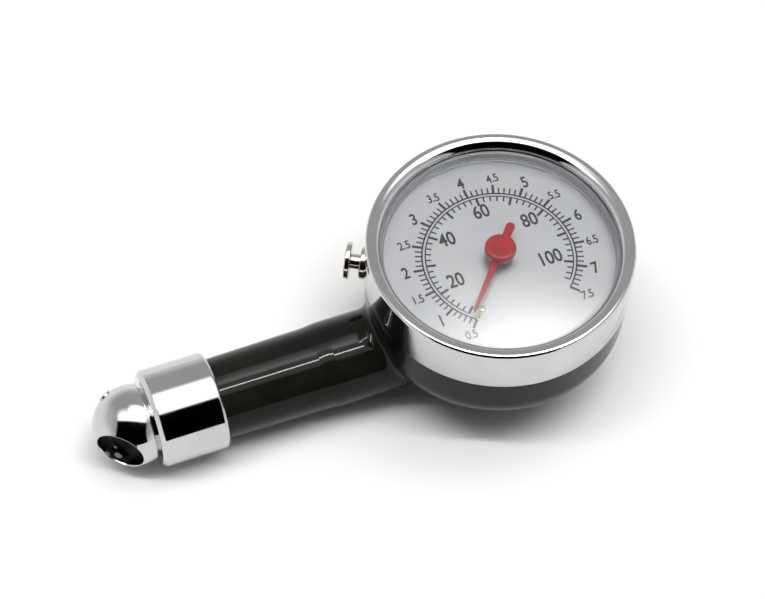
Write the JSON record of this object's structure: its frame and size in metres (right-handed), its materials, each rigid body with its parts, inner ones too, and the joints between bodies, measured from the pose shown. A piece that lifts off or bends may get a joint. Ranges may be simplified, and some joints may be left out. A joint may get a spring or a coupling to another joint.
{
  "type": "dial tyre pressure gauge",
  "caption": "Pocket dial tyre pressure gauge: chromed round head on a black hollow handle, angled ball chuck, side bleed button.",
  "frame": {"origin": "centre of the flat disc on the back of the head, on the dial's axis", "axes": "+Z out of the dial, -X along the handle towards the chuck, +Y towards the dial's top"},
  "size_m": [0.1047, 0.05, 0.0337],
  "materials": {
    "black_paint": "glossy black enamel on die-cast zinc",
    "chrome": "polished chrome plate",
    "nickel": "bright nickel plate, slightly warm",
    "clear_lens": "clear moulded acrylic",
    "black_rubber": "black rubber",
    "grey_plastic": "satin grey plastic",
    "dial_silver": "fine satin silver dial with printed scales",
    "pointer_red": "glossy red",
    "brass": "machined brass",
    "bronze": "phosphor bronze tube, dull",
    "steel": "turned steel",
    "spring_steel": "drawn spring wire"
  },
  "bodies": {
    "gauge": {"housing": "black_paint", "bezel": "chrome", "lens": "clear_lens", "lens_gasket": "black_rubber", "spacer_ring": "grey_plastic", "dial_plate": "dial_silver", "stop_pin": "nickel", "hairspring": "bronze", "bourdon_tube": "bronze", "bottom_plate": "brass", "top_plate": "brass", "plate_pillars": "brass", "pillar_screws": "steel", "plate_screws": "steel", "tube_socket": "brass", "socket_screws": "steel", "socket_oring": "black_rubber", "ferrule": "chrome", "chuck_head": "chrome", "head_gasket": "black_rubber", "chuck_seal": "black_rubber", "depressor_pin": "nickel", "chuck_plug": "chrome", "inlet_filter": "bronze", "check_valve_seat": "brass", "check_valve_spring": "spring_steel", "bleed_bush": "nickel", "bleed_spring": "spring_steel"},
    "pointer": {"pointer": "pointer_red", "pointer_bush": "brass", "arbor": "steel", "pinion": "brass"},
    "sector": {"sector_gear": "brass", "sector_arbor": "steel", "tail_pin": "steel"},
    "link": {"link": "brass"},
    "tube_tip": {"tube_tip": "brass", "tip_pin": "steel"},
    "bleed_button": {"bleed_button": "nickel", "bleed_valve_disc": "brass", "bleed_seal": "black_rubber"},
    "check_valve": {"check_valve_poppet": "black_rubber"}
  },
  "joints": [
    {"name": "pointer_turn", "type": "hinge", "parent": "gauge", "child": "pointer", "pos_m": [0, 0, 0.024], "axis": [0, 0, -1], "range_deg": [0, 278], "deforming": ["hairspring"]},
    {"name": "sector_turn", "type": "hinge", "parent": "gauge", "child": "sector", "pos_m": [-0.0043, -0.0112, 0.0216], "axis": [0, 0, -1], "range_deg": [-40, 0]},
    {"name": "link_turn", "type": "hinge", "parent": "sector", "child": "link", "pos_m": [-0.00546, -0.01503, 0.02055], "axis": [0, 0, -1], "range_deg": [0, 40]},
    {"name": "tube_tip_shift", "type": "slide", "parent": "gauge", "child": "tube_tip", "axis": [0.9986, 0.0523, 0], "range_m": [0, 0.00272], "stiffness_N_per_m": 200, "deforming": ["bourdon_tube"]},
    {"name": "bleed_press", "type": "slide", "parent": "gauge", "child": "bleed_button", "axis": [0.866, -0.5, 0], "range_m": [0, 0.0016], "stiffness_N_per_m": 400, "springref_m": -0.0006, "deforming": ["bleed_spring"]},
    {"name": "check_valve_lift", "type": "slide", "parent": "gauge", "child": "check_valve", "axis": [1, 0, 0], "range_m": [0, 0.0012], "stiffness_N_per_m": 40, "springref_m": -0.0004, "deforming": ["check_valve_spring"]}
  ],
  "couplings": [
    {"joint": "pointer_turn", "follows": "tube_tip_shift", "rad_per_m": 1785.5},
    {"joint": "sector_turn", "follows": "tube_tip_shift", "rad_per_m": -255.08},
    {"joint": "link_turn", "follows": "tube_tip_shift", "rad_per_m": 255.08}
  ]
}
